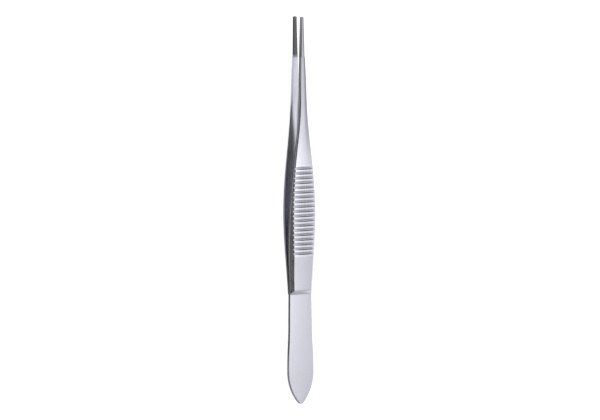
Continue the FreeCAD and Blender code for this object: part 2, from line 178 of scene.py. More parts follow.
@dataclass(frozen=True)
class Leaf:
    """Outline of the tail: a rounded point, an end arc, an S-shaped flank and a neck, in millimetres."""

    length: float = 29.0
    thickness: float = 0.55
    belly: float = 3.93
    end_radius: float = 12.2
    point_radius: float = 0.8
    flank: float = 13.0
    neck: float = 3.5
    root: float = 3.4

    def half_width(self, along: np.ndarray) -> np.ndarray:
        """Half of the leaf's width.

        Each arc gives its centre plus or minus the root of its radius squared less the distance along it
        squared, and the neck runs straight to the root.

        Args:
            along: Distance from the tail point.

        Returns:
            Half of the width at each place.
        """
        reach = self.end_radius - self.point_radius
        inset = self.end_radius - self.belly
        widest = self.point_radius + math.sqrt(reach**2 - inset**2)
        touch = self.point_radius * (1.0 + (self.point_radius - widest) / reach)
        turn = widest + self.flank / 2.0
        neck_at = widest + self.flank
        drop = self.belly - self.neck
        flank_radius = (self.flank**2 + drop**2) / (4.0 * drop)

        def arc(centre: float, radius: float) -> np.ndarray:
            """Height of a circle at each place: the root of its radius squared less the distance squared.

            Args:
                centre: Place of its centre.
                radius: Its radius.

            Returns:
                One height for each place, 0 outside the circle.
            """
            return np.sqrt(np.clip(radius**2 - (along - centre) ** 2, 0.0, None))

        pieces = [
            arc(self.point_radius, self.point_radius),
            arc(widest, self.end_radius) - inset,
            arc(widest, flank_radius) + self.belly - flank_radius,
            self.neck + flank_radius - arc(neck_at, flank_radius),
            self.neck + (self.root - self.neck) * (along - neck_at) / (self.length - neck_at),
        ]
        limits = [along < touch, along < widest, along < turn, along < neck_at]
        return np.select(limits, pieces[:4], pieces[4])


@dataclass(frozen=True)
class Grip:
    """Cross grooves of the grip on the bow of the outer face, in millimetres."""

    start: float = 39.2
    count: int = 19
    pitch: float = 1.246
    land: float = 0.09
    depth: float = 0.4
    flank_radius: float = 0.75
    valley: float = 0.11
    bow_radius: float = 311.0
    bow_height: float = 2.6
    bow_offset: float = 17.0

    @property
    def end(self) -> float:
        """Where the last groove ends."""
        return self.start + self.count * self.pitch

    def bow(self, along: np.ndarray) -> np.ndarray:
        """Height of the bow: its centre plus the root of its radius squared less the distance squared."""
        away = along - self.start - self.bow_offset
        return self.bow_height - self.bow_radius + np.sqrt(self.bow_radius**2 - away**2)

    def cut(self, along: np.ndarray) -> np.ndarray:
        """Depth of the grooves under the bow.

        The distance to the nearest groove's middle is measured along the bow, and blunted near the middle
        by a hyperbola. Each flank is an arc whose centre stands beside the groove, so the ribs are rounded
        and meet in a narrow valley with a round floor.

        Args:
            along: Distance from the tail point.

        Returns:
            Depth at each place, 0 outside the grip.
        """
        away = along - self.start - self.bow_offset
        run = self.bow_radius * np.arcsin(away / self.bow_radius) + self.bow_offset
        off = (run / self.pitch) % 1.0 - 0.5
        mouth = (self.pitch - self.land) / 2.0
        blunt = np.sqrt((off * self.pitch) ** 2 + self.valley**2) - self.valley
        reach = np.minimum(mouth * blunt / (math.hypot(mouth, self.valley) - self.valley), mouth)
        chord = math.hypot(mouth, self.depth)
        rise = math.sqrt(self.flank_radius**2 - chord**2 / 4.0)
        centre_out = mouth / 2.0 + rise * self.depth / chord
        centre_up = -self.depth / 2.0 - rise * mouth / chord
        height = centre_up + np.sqrt(self.flank_radius**2 - (reach - centre_out) ** 2)
        inside = (run > 0.0) & (run < self.count * self.pitch)
        return np.where(inside, np.clip(-height, 0.0, self.depth), 0.0)


@dataclass(frozen=True)
class Jaw:
    """Tapered jaw with cross serrations on its inner face, in millimetres."""

    length: float = 10.6
    root: Station = Station(0.0, 1.42, 1.2, 0.7, 2.24)
    tip: Station = Station(10.6, 0.8, 1.28, 0.66, 2.12)
    shoulder_run: float = 0.05
    dome: float = 0.16
    end_round: float = 0.09
    teeth: int = 20
    margin: float = 0.3
    tooth_depth: float = 0.14
    tooth_land: float = 0.2

    @property
    def pitch(self) -> float:
        """Pitch of the serrations."""
        return (self.length - 2.0 * self.margin) / self.teeth

    def dome_half(self, along: np.ndarray) -> np.ndarray:
        """Half width of the domed end: the root of its radius squared less the distance squared.

        Args:
            along: Distance from the root of the jaw.

        Returns:
            Half of the width at each place.
        """
        half = self.tip.width / 2.0
        radius = (half**2 + self.dome**2) / (2.0 * self.dome)
        return np.sqrt(np.clip(radius**2 - (along - self.length + radius) ** 2, 0.0, None))

    def tooth(self, along: np.ndarray, shift: float, count: int) -> np.ndarray:
        """Depth of the V cuts between the serrations.

        Each cut falls off evenly from its middle to the edge of its mouth.

        Args:
            along: Distance from the root of the jaw.
            shift: Share of the pitch by which the row is moved on.
            count: Number of cuts.

        Returns:
            Depth at each place, 0 between the cuts.
        """
        turns = (along - self.margin) / self.pitch - shift
        off = np.abs(turns % 1.0 - 0.5)
        mouth = (1.0 - self.tooth_land) / 2.0
        inside = (turns > 0.0) & (turns < count)
        return np.where(inside, self.tooth_depth * np.clip(1.0 - off / mouth, 0.0, None), 0.0)


@dataclass(frozen=True)
class EdgeRounding:
    """How far the edges of the section are broken, in millimetres, and the points that each run takes.

    The runs are the inner face, its corner, the side, the shoulder, the bevel, the outer corner and the
    outer face. Zones give the share that each has in the inner, side and outer zones of the painted shade.
    """

    inner: float = 0.04
    seam: float = 0.03
    shoulder: float = 0.09
    outer: float = 0.08
    rim: float = 0.09
    steps: int = 4
    share: float = 0.45
    inner_shares: tuple[float, ...] = (0.0, 0.2, 0.4, 0.6, 0.8, 0.96)
    leg_shares: tuple[float, ...] = (0.1, 0.5, 0.9)
    outer_shares: tuple[float, ...] = (0.04, 0.15, 0.3, 0.45, 0.6, 0.75, 0.9, 1.0)
    zones: tuple[tuple[float, float, float], ...] = (
        (1.0, 0.0, 0.0), (0.0, 1.15, 0.0), (0.0, 1.0, 0.0), (0.0, 0.6, 0.0), (0.0, 0.1, 0.6),
        (0.0, 0.0, 1.0), (0.0, 0.0, 1.0))
    rubbing: tuple[float, ...] = (0.0, 0.0, 0.0, 0.4, 0.0, 1.0, 0.0)


@dataclass(frozen=True)
class Section:
    """Corners of the right half of every section, one value a row, in millimetres.

    Two marks go with them: whether a row stands in the grip, and how far its groove's flank faces the tips.
    """

    along: np.ndarray
    half: np.ndarray
    gap: np.ndarray
    shoulder: np.ndarray
    corner: np.ndarray
    face: np.ndarray
    crown: np.ndarray
    cut: np.ndarray
    in_grip: np.ndarray
    to_tips: np.ndarray


@dataclass(frozen=True)
class PaintedLightAndWear:
    """Painted shade and painted reflection on an arm, with its rubbed edges and painted highlights.

    Places are distances from the tail point, each with its value in the next field. They and the depths of
    flanks and crests are in millimetres. The dark values are painted shade, for the shade and dark
    reflections that fall on the sides, in the slot between the arms, on the groove flanks and on the shank
    near the jaw. The band is a painted reflection, the bright strip along the middle of the inner face, and
    the tones are the painted shade inside it.
    """

    # Painted reflection: the edges of the bright band on the inner face by place, as shares of the half
    # width.
    band_places: tuple[float, ...] = (0.0, 60.0, 62.0, 67.0, 72.0, 77.3, 82.0, 84.0)
    band_edges: tuple[float, ...] = (-0.5, -0.5, 0.08, 0.2, 0.22, 0.55, 1.0, 1.4)
    band_blur: float = 0.3
    # Painted shade inside the band, by place.
    tone_places: tuple[float, ...] = (72.0, 80.0, 91.0)
    tones: tuple[float, ...] = (0.0, 0.07, 0.2)
    # Painted shade in the slot between the arms, where they shade each other, by place.
    slot_places: tuple[float, ...] = (29.0, 50.0, 58.0, 66.0)
    slot_painted_shade: tuple[float, ...] = (0.04, 0.07, 0.33, 0.72)
    # Painted shade on the outer face, by place.
    outer_places: tuple[float, ...] = (
        0.0, 12.0, 28.9, 29.2, 30.0, 30.4, 60.0, 65.0, 72.0, 79.0, 91.0, 102.0)
    outer_painted_shade: tuple[float, ...] = (
        0.19, 0.11, 0.07, 0.2, 0.2, 0.07, 0.02, 0.0, 0.23, 0.37, 0.45, 0.6)
    # Painted shade on the sides, for the dark reflections they show, by place.
    side_places: tuple[float, ...] = (0.0, 11.0, 14.0, 29.0, 39.0, 66.0, 77.0, 80.0, 91.0, 92.0, 102.0)
    side_painted_shade: tuple[float, ...] = (0.82, 0.86, 1.0, 1.0, 0.96, 0.97, 0.95, 0.95, 0.96, 1.0, 0.84)
    # Shares of the rubbing and painted highlights by place.
    bright_places: tuple[float, ...] = (28.5, 29.5, 91.3, 91.5)
    bright_shares: tuple[float, ...] = (0.3, 1.0, 1.0, 0.3)
    # Painted shade of the jaw's inner face, and the run over which it sets in.
    jaw_face: float = 0.79
    jaw_face_run: float = 0.2
    # Painted shade on the groove flanks: a bell curve of the depth, less on flanks that face the tail.
    flank_lit: float = 0.08
    flank_cut: float = 0.22
    flank_spread: float = 0.11
    # The groove flanks fade out at different shares on the left and the right: painted shade for light that
    # falls from one side.
    left_fade: float = 0.2
    right_fade: float = 0.85
    # Painted highlights at the groove ends and on the crests of the ribs.
    notch: tuple[float, float] = (0.7, 0.95)
    crest_lit: float = 0.24
    crest_shaded: float = 0.08

    def painted_shade(self, size: Section, across: np.ndarray, zone: np.ndarray, fade: float,
                 tail_end: float, jaw_start: float) -> np.ndarray:
        """How much painted shade each point takes, for the shade and dark reflections that fall on the arm.

        The sides take it, and so do the narrow bevel of the tail, the flanks of the grooves and, in part, the
        shank near the jaw. On the flanks it falls off as a bell curve of the depth, and those that face the
        tips take more of it. The inner face is painted dark over the narrow part of the slot, where the arms
        shade each other, and a bright band of painted reflection opens along its middle towards the jaw.

        Args:
            size: The sections.
            across: Distance of each point from the middle, as a share of the half width.
            zone: Share of the inner, side and outer zones in each column of the ring, 3 by columns.
            fade: Share of the face's half width from which the flanks lighten towards their end.
            tail_end: Where the tail plate ends.
            jaw_start: Where the jaw starts.

        Returns:
            Painted shade from 0 to 1, rows by columns.
        """
        along = size.along[:, None]
        # Painted reflection: a bright band along the middle of the inner face, in a slot painted dark for the
        # shade between the arms.
        band = np.interp(along, self.band_places, self.band_edges)
        inner = smooth_step(across, band - self.band_blur, band + self.band_blur)
        slot = np.interp(along, self.slot_places, self.slot_painted_shade)
        tone = np.interp(along, self.tone_places, self.tones)
        inner = tone + (slot - tone) * inner
        inner += (self.jaw_face - inner) * smooth_step(along, jaw_start, jaw_start + self.jaw_face_run)
        # Painted shade on the outer face, on the groove flanks and on the sides.
        outer = np.interp(along, self.outer_places, self.outer_painted_shade)
        reach = across * size.half[:, None] / np.maximum(size.face, TINY)[:, None]
        flank = np.exp(-(((size.cut[:, None] - self.flank_cut) / self.flank_spread) ** 2))
        flank = flank * (1.0 - smooth_step(reach, fade, 1.0)) * (zone[2] > FULL_ZONE)
        flank = flank * (self.flank_lit + (1.0 - self.flank_lit) * size.to_tips[:, None])
        side = np.interp(along, self.side_places, self.side_painted_shade)
        dark = zone[0] * inner + zone[1] * side + zone[2] * outer + flank
        # The tail's narrow bevel takes the sides' painted shade.
        rim = (along < tail_end) & (zone[2] > 0.0) & (zone[2] < FULL_ZONE)
        return np.clip(np.where(rim, side, dark), 0.0, 1.0)

    def rubbing_and_highlight(self, size: Section, share: np.ndarray, zone: np.ndarray, rubbed: np.ndarray,
             depth: float) -> np.ndarray:
        """How far each point is made bright, by rubbing and by painted highlights.

        The broken edges are rubbed bright. The crests of the ribs and the ends of the grooves take painted
        highlights: from a crest the highlight falls off as a bell curve of the depth, further down on the
        flank that faces the tail, which catches the light.

        Args:
            size: The sections.
            share: Distance of each point from the middle, as a share of the outer face's half width.
            zone: Share of the inner, side and outer zones in each column of the ring, 3 by columns.
            rubbed: How far each column of the ring is rubbed.
            depth: Full depth of the grooves.

        Returns:
            Rubbing and painted highlight from 0 to 1, rows by columns.
        """
        # Painted highlights on the crests of the ribs and at the ends of the grooves.
        fall = self.crest_lit + (self.crest_shaded - self.crest_lit) * size.to_tips
        crest = np.where(size.in_grip, np.exp(-((size.cut / fall) ** 2)), 0.0)
        notch = smooth_step(share, *self.notch) * (size.cut / depth)[:, None]
        rubbed_and_highlit = np.clip(rubbed + (zone[2] > FULL_ZONE) * (crest[:, None] + notch), 0.0, 1.0)
        return rubbed_and_highlit * np.interp(size.along, self.bright_places, self.bright_shares)[:, None]


@dataclass(frozen=True)
class RowPlan:
    """How many rows each stretch of an arm takes, and where they stand.

    Distances are in millimetres from the tail plate's end. Shares are of a groove's or a tooth's pitch, over
    its first half.
    """

    point: int = 18
    tail: int = 64
    tail_short: float = 0.2
    step: int = 28
    step_back: float = 0.15
    step_ahead: float = 1.2
    spring: int = 20
    spring_ahead: float = 1.3
    groove_shares: tuple[float, ...] = (0.04, 0.1, 0.17, 0.24, 0.31, 0.37, 0.42, 0.46, 0.49)
    shank: int = 72
    shoulder: int = 11
    tooth_shares: tuple[float, ...] = (0.0, 0.1, 0.2, 0.3, 0.4)
    end: int = 20
    decimals: int = 5


@dataclass
class Arm:
    """One spring arm as a closed surface of sections set along it.

    Sizes are in millimetres, but for the weld and sliver distances of the finished mesh, in metres.
    """

    member: Member
    tooth_shift: float
    tooth_count: int
    leaf: Leaf = field(default_factory=Leaf)
    grip: Grip = field(default_factory=Grip)
    jaw: Jaw = field(default_factory=Jaw)
    edges: EdgeRounding = field(default_factory=EdgeRounding)
    # Painted shade, painted reflection and painted highlights, with the real rubbing of the edges.
    finish: PaintedLightAndWear = field(default_factory=PaintedLightAndWear)
    plan: RowPlan = field(default_factory=RowPlan)
    jaw_start: float = 91.374
    step_blend: float = 0.05
    slant_reach: float = 1.0
    crown_fade: float = 0.3
    flank_slope: float = 0.3
    weld: float = 2e-7
    sliver: float = 1e-8
    stations: tuple[Station, ...] = (
        Station(29.0, 6.8, 0.0, 0.55, 1.52),
        Station(34.1, 7.26, 0.2, 0.6, 1.78),
        Station(39.2, 7.8, 0.42, 0.61, 2.135),
        Station(51.037, 7.82, 0.9, 0.9, 2.5571),
        Station(62.874, 5.75, 1.47, 0.62, 2.5284),
        Station(69.974, 4.0, 1.64, 0.48, 2.62),
        Station(77.074, 2.62, 1.75, 0.37, 2.62),
        Station(84.224, 1.94, 1.42, 0.75, 2.5),
        Station(91.374, 1.5, 1.38, 0.62, 2.3),
    )
    crown_places: tuple[float, ...] = (0.0, 6.0, 29.0, 39.0, 51.0, 63.0, 70.0, 91.3, 91.5, 102.0)
    crown_rises: tuple[float, ...] = (0.03, 0.08, 0.11, 0.14, 0.1, 0.15, 0.18, 0.12, 0.05, 0.05)

    @property
    def tip(self) -> float:
        """Distance from the tail point to the tip."""
        return self.jaw_start + self.jaw.length

    def rows(self) -> np.ndarray:
        """Places of the sections, close together where the shape turns quickly.

        Returns:
            Distances from the tail point, rising.
        """
        leaf, grip, jaw, plan = self.leaf, self.grip, self.jaw, self.plan
        point = leaf.point_radius * np.linspace(0.0, 1.0, plan.point) ** 2
        tail = np.linspace(leaf.point_radius, leaf.length - plan.tail_short, plan.tail)
        step = np.linspace(leaf.length - plan.step_back, leaf.length + plan.step_ahead, plan.step)
        spring = np.linspace(leaf.length + plan.spring_ahead, grip.start, plan.spring)
        shares = np.array(plan.groove_shares)
        shares = np.concatenate([[0.0], shares, [0.5], 1.0 - shares[::-1]])
        turns = np.arange(grip.count)[:, None] + shares[None, :]
        away = turns.ravel() * grip.pitch - grip.bow_offset
        ribs = grip.start + grip.bow_offset + grip.bow_radius * np.sin(away / grip.bow_radius)
        shank = np.linspace(grip.end, self.jaw_start - jaw.shoulder_run, plan.shank)
        shoulder = self.jaw_start + jaw.shoulder_run * np.linspace(-1.0, 1.0, plan.shoulder)
        teeth = np.arange(2 * jaw.teeth)[:, None] / 2.0 + np.array(plan.tooth_shares)[None, :]
        serrations = self.jaw_start + jaw.margin + jaw.pitch * teeth.ravel()
        end = self.tip - jaw.dome * np.linspace(1.0, 0.0, plan.end) ** 2
        rows = np.concatenate([point, tail, step, spring, ribs, shank, shoulder, serrations, end])
        return np.unique(np.round(rows, plan.decimals))

    def section(self, along: np.ndarray) -> Section:
        """Sizes of the section at each row.

        Over the tail the half width is the leaf's and the thickness is the plate's. Ahead of it the sizes
        follow splines through the stations, and the outer face climbs a 45 degree step from the plate. The
        jaw takes over through a short smooth step. The bevel rises at 45 degrees from the shoulder, and
        narrows round the tail point and the tip.

        Args:
            along: Distances from the tail point.

        Returns:
            The corners of the right half of each section.
        """
        leaf, grip, jaw = self.leaf, self.grip, self.jaw
        knots = np.array([station.along for station in self.stations])

        def follow(name: str) -> np.ndarray:
            """A size of the arm behind the jaw, on the spline through its stations.

            Args:
                name: The size's name in a station.

            Returns:
                One value for each row.
            """
            return Curve(knots, np.array([getattr(station, name) for station in self.stations]))(along)

        def taper(name: str) -> np.ndarray:
            """A size of the jaw, changing evenly from its root to its tip.

            Args:
                name: The size's name in a station.

            Returns:
                One value for each row.
            """
            ends = [getattr(jaw.root, name), getattr(jaw.tip, name)]
            return np.interp(along - self.jaw_start, [0.0, jaw.length], ends)

        in_tail = along <= leaf.length
        in_grip = (along >= grip.start) & (along <= grip.end)
        into_jaw = smooth_step(along, self.jaw_start - jaw.shoulder_run, self.jaw_start + jaw.shoulder_run)

        half = np.where(in_tail, leaf.half_width(along), follow("width") / 2.0)
        half += (taper("width") / 2.0 - half) * into_jaw
        half = np.where(along > self.tip - jaw.dome,
                        np.minimum(half, jaw.dome_half(along - self.jaw_start)), half)
        gap = np.where(in_tail, 0.0, np.clip(follow("gap"), 0.0, None))
        gap += (taper("gap") - gap) * into_jaw
        shoulder = np.where(in_tail, leaf.thickness, follow("gap") + follow("side"))
        shoulder += (taper("gap") + taper("side") - shoulder) * into_jaw
        gap += jaw.tooth(along - self.jaw_start, self.tooth_shift, self.tooth_count)

        top = np.where(in_grip, grip.bow(along), follow("top"))
        top += (taper("top") - top) * into_jaw
        ramp = leaf.thickness - soft_min(np.zeros_like(along), leaf.length - along, self.step_blend)
        top = soft_min(top, ramp, self.step_blend)

        cut = grip.cut(along)
        crown = np.interp(along, self.crown_places, self.crown_rises)
        low = top - np.maximum(crown, cut)
        crown = np.maximum(crown - cut, 0.0)

        end = np.clip(jaw.end_round - (self.tip - along), 0.0, jaw.end_round)
        end_drop = jaw.end_round - np.sqrt(jaw.end_round**2 - end**2)
        gap = gap + end_drop
        low = low - end_drop

        shoulder = np.minimum(shoulder, low - self.edges.rim)
        slant = np.sqrt(1.0 + np.gradient(half, along) ** 2)
        slant = np.where((along < leaf.length - self.slant_reach) | (along > self.tip - jaw.dome), slant, 1.0)
        bevel = np.minimum(low - shoulder, half / slant)
        corner = shoulder + bevel
        to_tips = smooth_step(np.gradient(cut, along), -self.flank_slope, self.flank_slope)
        return Section(along, half, gap, shoulder, corner, half - bevel * slant,
                       crown * np.clip(half / self.crown_fade, 0.0, 1.0), cut, in_grip, to_tips)

    def surface(self) -> tuple[np.ndarray, np.ndarray, np.ndarray]:
        """Points of the arm with its edges broken, with the rubbing, painted highlight and painted shade of
        each.

        A section is the path inner middle, inner corner, shoulder, bevel corner, outer middle, and its
        mirror image. Each corner becomes a circular arc: a rational curve of the second degree whose
        middle weight is the cosine of half the turn. The outer face is crowned as a parabola.

        Returns:
            Points as rows by ring by 3 in millimetres, then rubbing with painted highlight and painted shade,
            rows by ring.
        """
        size = self.section(self.rows())
        edges = self.edges
        zero = np.zeros_like(size.half)
        path = np.stack([
            np.stack([zero, size.gap], -1),
            np.stack([size.half, size.gap], -1),
            np.stack([size.half, size.shoulder], -1),
            np.stack([size.face, size.corner], -1),
            np.stack([zero, size.corner], -1),
        ], axis=1)
        legs = np.diff(path, axis=1)
        lengths = np.linalg.norm(legs, axis=-1)
        units = legs / np.maximum(lengths, SHORTEST)[..., None]
        inner = np.where(size.along < self.leaf.length, edges.seam, edges.inner)
        radii = np.stack([inner, np.full_like(inner, edges.shoulder), np.full_like(inner, edges.outer)], -1)
        turn_cos = np.clip(np.sum(units[:, :-1] * units[:, 1:], axis=-1), -1.0, 1.0)
        half_turn = np.arccos(turn_cos) / 2.0
        trim = radii * np.tan(half_turn)
        trim = np.minimum(trim, edges.share * np.minimum(lengths[:, :-1], lengths[:, 1:]))
        begin = path[:, 1:4] - units[:, :-1] * trim[..., None]
        leave = path[:, 1:4] + units[:, 1:] * trim[..., None]

        def run(start: np.ndarray, stop: np.ndarray, shares: tuple[float, ...]) -> np.ndarray:
            """Points on a straight run.

            Args:
                start: Its first point in each row.
                stop: Its last point in each row.
                shares: Shares of its length.

            Returns:
                Points as rows by shares by 2.
            """
            part = np.array(shares)[None, :, None]
            return start[:, None] * (1.0 - part) + stop[:, None] * part

        def bend(index: int) -> np.ndarray:
            """Points of one broken corner.

            Args:
                index: Number of the corner, from the inner one.

            Returns:
                Points as rows by steps by 2.
            """
            t = np.linspace(0.0, 1.0, edges.steps + 1)[None, :, None]
            weight = np.cos(half_turn[:, index])[:, None, None]
            basis = (1.0 - t) ** 2, 2.0 * weight * t * (1.0 - t), t**2
            ends = begin[:, index, None], path[:, index + 1, None], leave[:, index, None]
            return sum(part * point for part, point in zip(basis, ends)) / sum(basis)

        blocks = [
            run(path[:, 0], begin[:, 0], edges.inner_shares), bend(0),
            run(leave[:, 0], begin[:, 1], edges.leg_shares), bend(1),
            run(leave[:, 1], begin[:, 2], edges.leg_shares), bend(2),
            run(leave[:, 2], path[:, 4], edges.outer_shares),
        ]
        side = np.concatenate(blocks, axis=1)
        zone = np.repeat(np.array(edges.zones).T, [block.shape[1] for block in blocks], axis=1)
        rubbed = np.repeat(np.array(edges.rubbing), [block.shape[1] for block in blocks])

        share = side[..., 0] / np.maximum(size.face, TINY)[:, None]
        side[..., 1] += (zone[2] > FULL_ZONE) * size.crown[:, None] * np.clip(1.0 - share**2, 0.0, 1.0)
        across = side[..., 0] / np.maximum(size.half, TINY)[:, None]
        finish = self.finish
        # Rubbing with painted highlights.
        rubbed_and_highlit = finish.rubbing_and_highlight(size, share, zone, rubbed, self.grip.depth)
        # Painted shade, worked out for each half, as the two halves fade differently.
        dark, dark_left = (
            finish.painted_shade(size, across, zone, fade, self.leaf.length, self.jaw_start)
            for fade in (finish.right_fade, finish.left_fade))

        left = side[:, -2:0:-1] * np.array([-1.0, 1.0])
        ring = np.concatenate([side, left], axis=1)
        rubbed_and_highlit = np.concatenate([rubbed_and_highlit, rubbed_and_highlit[:, -2:0:-1]], axis=1)
        dark = np.concatenate([dark, dark_left[:, -2:0:-1]], axis=1)
        along = np.broadcast_to(size.along[:, None], ring.shape[:2])
        points = np.stack([ring[..., 0], along, ring[..., 1]], axis=-1)
        if self.member is Member.LOWER:
            points = points * np.array([-1.0, 1.0, -1.0])
        return points, rubbed_and_highlit, dark

    def build(self, points: np.ndarray, rubbed_and_highlit: np.ndarray, dark: np.ndarray,
              material: bpy.types.Material) -> None:
        """Makes the arm's object from placed points, at the origin.

        The ring closes on itself, and the rows at the tail point and at the tip are welded shut.

        Args:
            points: Rows by ring by 3, in metres and in the part's frame.
            rubbed_and_highlit: Rubbing and painted highlight of each point.
            dark: Painted shade of each point.
            material: The arm's finish.
        """
        rows, count = points.shape[:2]
        row, column = np.meshgrid(np.arange(rows - 1), np.arange(count), indexing="ij")
        beside = (column + 1) % count
        faces = np.stack([row * count + column, (row + 1) * count + column,
                          (row + 1) * count + beside, row * count + beside], axis=-1).reshape(-1, 4)
        mesh = bpy.data.meshes.new(f"{self.member.value}_surface")
        mesh.from_pydata(points.reshape(-1, 3).tolist(), [], faces.tolist())
        # Two attributes: rubbing with painted highlights, and painted shade with painted reflection.
        for name, values in (("rubbing_and_highlight", rubbed_and_highlit), ("dark", dark)):
            layer = mesh.attributes.new(name, "FLOAT", "POINT")
            layer.data.foreach_set("value", np.ascontiguousarray(values, dtype=np.float32).ravel())

        work = bmesh.new()
        work.from_mesh(mesh)
        work.verts.ensure_lookup_table()
        ends = [work.verts[i] for i in (*range(2 * count), *range((rows - 2) * count, rows * count))]
        bmesh.ops.remove_doubles(work, verts=ends, dist=self.weld)
        bmesh.ops.dissolve_degenerate(work, dist=self.sliver, edges=work.edges)
        work.to_mesh(mesh)
        work.free()
        mesh.validate()
        mesh.shade_smooth()
        mesh.materials.append(material)

        piece = new_object(f"{self.member.value}_finish", mesh)
        normals = piece.modifiers.new("FaceNormals", "WEIGHTED_NORMAL")
        normals.mode = "FACE_AREA_WITH_ANGLE"
        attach(piece, "root")
        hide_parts(self.member.value)
        log.info("%s: %d rows of %d points, %d faces", piece.name, rows, count, len(mesh.polygons))


@dataclass
class Pair:
    """Both arms, laid down as they come to rest."""

    upper: Arm = field(default_factory=lambda: Arm(Member.UPPER, tooth_shift=0.0, tooth_count=20))
    lower: Arm = field(default_factory=lambda: Arm(
        Member.LOWER, tooth_shift=0.5, tooth_count=19,
        jaw=Jaw(root=Station(0.0, 1.24, 1.2, 0.7, 2.24), tip=Station(10.6, 0.86, 1.28, 0.66, 2.12)),
        # The lower arm takes painted shade of its own on its sides, lighter towards the jaw.
        finish=PaintedLightAndWear(side_painted_shade=(0.8, 0.84, 1.0, 1.0, 0.82, 0.84, 0.86, 0.4, 0.3, 1.0, 1.0))))
    seat: np.ndarray = field(default_factory=lambda: np.zeros(3))

    @property
    def tilt(self) -> float:
        """Lean of the pair: a level line touches the tail end and the bow.

        Returns:
            The angle in radians.
        """
        grip, leaf = self.upper.grip, self.upper.leaf
        across = grip.start + grip.bow_offset
        height = grip.bow_radius - grip.bow_height + leaf.thickness
        return math.asin(grip.bow_radius / math.hypot(across, height)) - math.atan2(height, across)

    def turn(self) -> np.ndarray:
        """Matrix that leans the pair about the X axis."""
        c, s = math.cos(self.tilt), math.sin(self.tilt)
        return np.array([[1.0, 0.0, 0.0], [0.0, c, -s], [0.0, s, c]])

    def place(self, point: np.ndarray) -> np.ndarray:
        """Carries points from the arm's frame, in millimetres, to the part's frame, in metres."""
        return (point @ self.turn().T) * MM + self.seat

    def build(self, material: bpy.types.Material) -> None:
        """Builds both arms where the frame has them.

        The pair is set by the frame's own box: midway along its length, and level with its top.

        Args:
            material: The finish of both arms.
        """
        corners = [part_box(arm.member.value) for arm in (self.upper, self.lower)]
        low = np.min([np.array(pair[0]) for pair in corners], axis=0)
        high = np.max([np.array(pair[1]) for pair in corners], axis=0)
        surfaces = [arm.surface() for arm in (self.upper, self.lower)]
        laid = np.concatenate([self.place(surface[0]).reshape(-1, 3) for surface in surfaces])
        middle = (low[1] + high[1]) / 2.0 - (laid[:, 1].min() + laid[:, 1].max()) / 2.0
        self.seat = np.array([0.0, middle, high[2] - laid[:, 2].max()])
        log.info("tilt %.4f degrees, seat %s", math.degrees(self.tilt), self.seat)
        for arm, (points, rubbed_and_highlit, dark) in zip((self.upper, self.lower), surfaces):
            arm.build(self.place(points), rubbed_and_highlit, dark, material)


class Nodes:
    """Short way to lay out a node tree."""

    def __init__(self, tree: bpy.types.NodeTree) -> None:
        """Keeps the tree and empties it."""
        self.tree = tree
        tree.nodes.clear()

    def feed(self, socket: bpy.types.NodeSocket, value: object) -> None:
        """Joins an output to an input, or sets the input.

        Args:
            socket: The input.
            value: An output, or a constant.
        """
        if isinstance(value, bpy.types.NodeSocket):
            self.tree.links.new(value, socket)
        else:
            socket.default_value = value

    def add(self, kind: str, inputs: dict[str | int, object] | None = None,
            **values: object) -> bpy.types.Node:
        """Adds a node.

        Args:
            kind: The node's type.
            inputs: An output or a constant for each input, by its name or number.
            values: Properties of the node to set.

        Returns:
            The new node.
        """
        node = self.tree.nodes.new(kind)
        for name, value in values.items():
            setattr(node, name, value)
        for name, value in (inputs or {}).items():
            self.feed(node.inputs[name], value)
        return node

    def math(self, operation: str, *terms: object) -> bpy.types.NodeSocket:
        """Adds a maths node.

        Args:
            operation: What it works out.
            terms: Its terms, each an output or a number.

        Returns:
            Its output.
        """
        return self.add("ShaderNodeMath", dict(enumerate(terms)), operation=operation).outputs[0]

    def mix(self, share: object, first: object, second: object) -> bpy.types.NodeSocket:
        """Mixes two colours.

        Args:
            share: Share of the second colour, an output or a number.
            first: An output or a colour.
            second: An output or a colour.

        Returns:
            The mixed colour.
        """
        node = self.add("ShaderNodeMix", data_type="RGBA")
        for name, value in (("Factor_Float", share), ("A_Color", first), ("B_Color", second)):
            self.feed(next(item for item in node.inputs if item.identifier == name), value)
        return next(item for item in node.outputs if item.identifier == "Result_Color")


def new_material(name: str) -> tuple[bpy.types.Material, Nodes]:
    """Starts a material.

    Args:
        name: Its name.

    Returns:
        The material and its empty tree.
    """
    material = bpy.data.materials.new(name)
    material.use_nodes = True
    return material, Nodes(material.node_tree)


def new_group(name: str, inputs: dict[str, float],
              output: str) -> tuple[Nodes, bpy.types.Node, bpy.types.Node]:
    """Starts a shader node group that gives one number.

    Args:
        name: The group's name.
        inputs: Names and default values of its number inputs.
        output: Name of its output.

    Returns:
        The nodes, and the group's input and output nodes.
    """
    tree = bpy.data.node_groups.new(name, "ShaderNodeTree")
    for label, value in inputs.items():
        socket = tree.interface.new_socket(name=label, in_out="INPUT", socket_type="NodeSocketFloat")
        socket.default_value = value
    tree.interface.new_socket(name=output, in_out="OUTPUT", socket_type="NodeSocketFloat")
    nodes = Nodes(tree)
    return nodes, nodes.add("NodeGroupInput"), nodes.add("NodeGroupOutput")


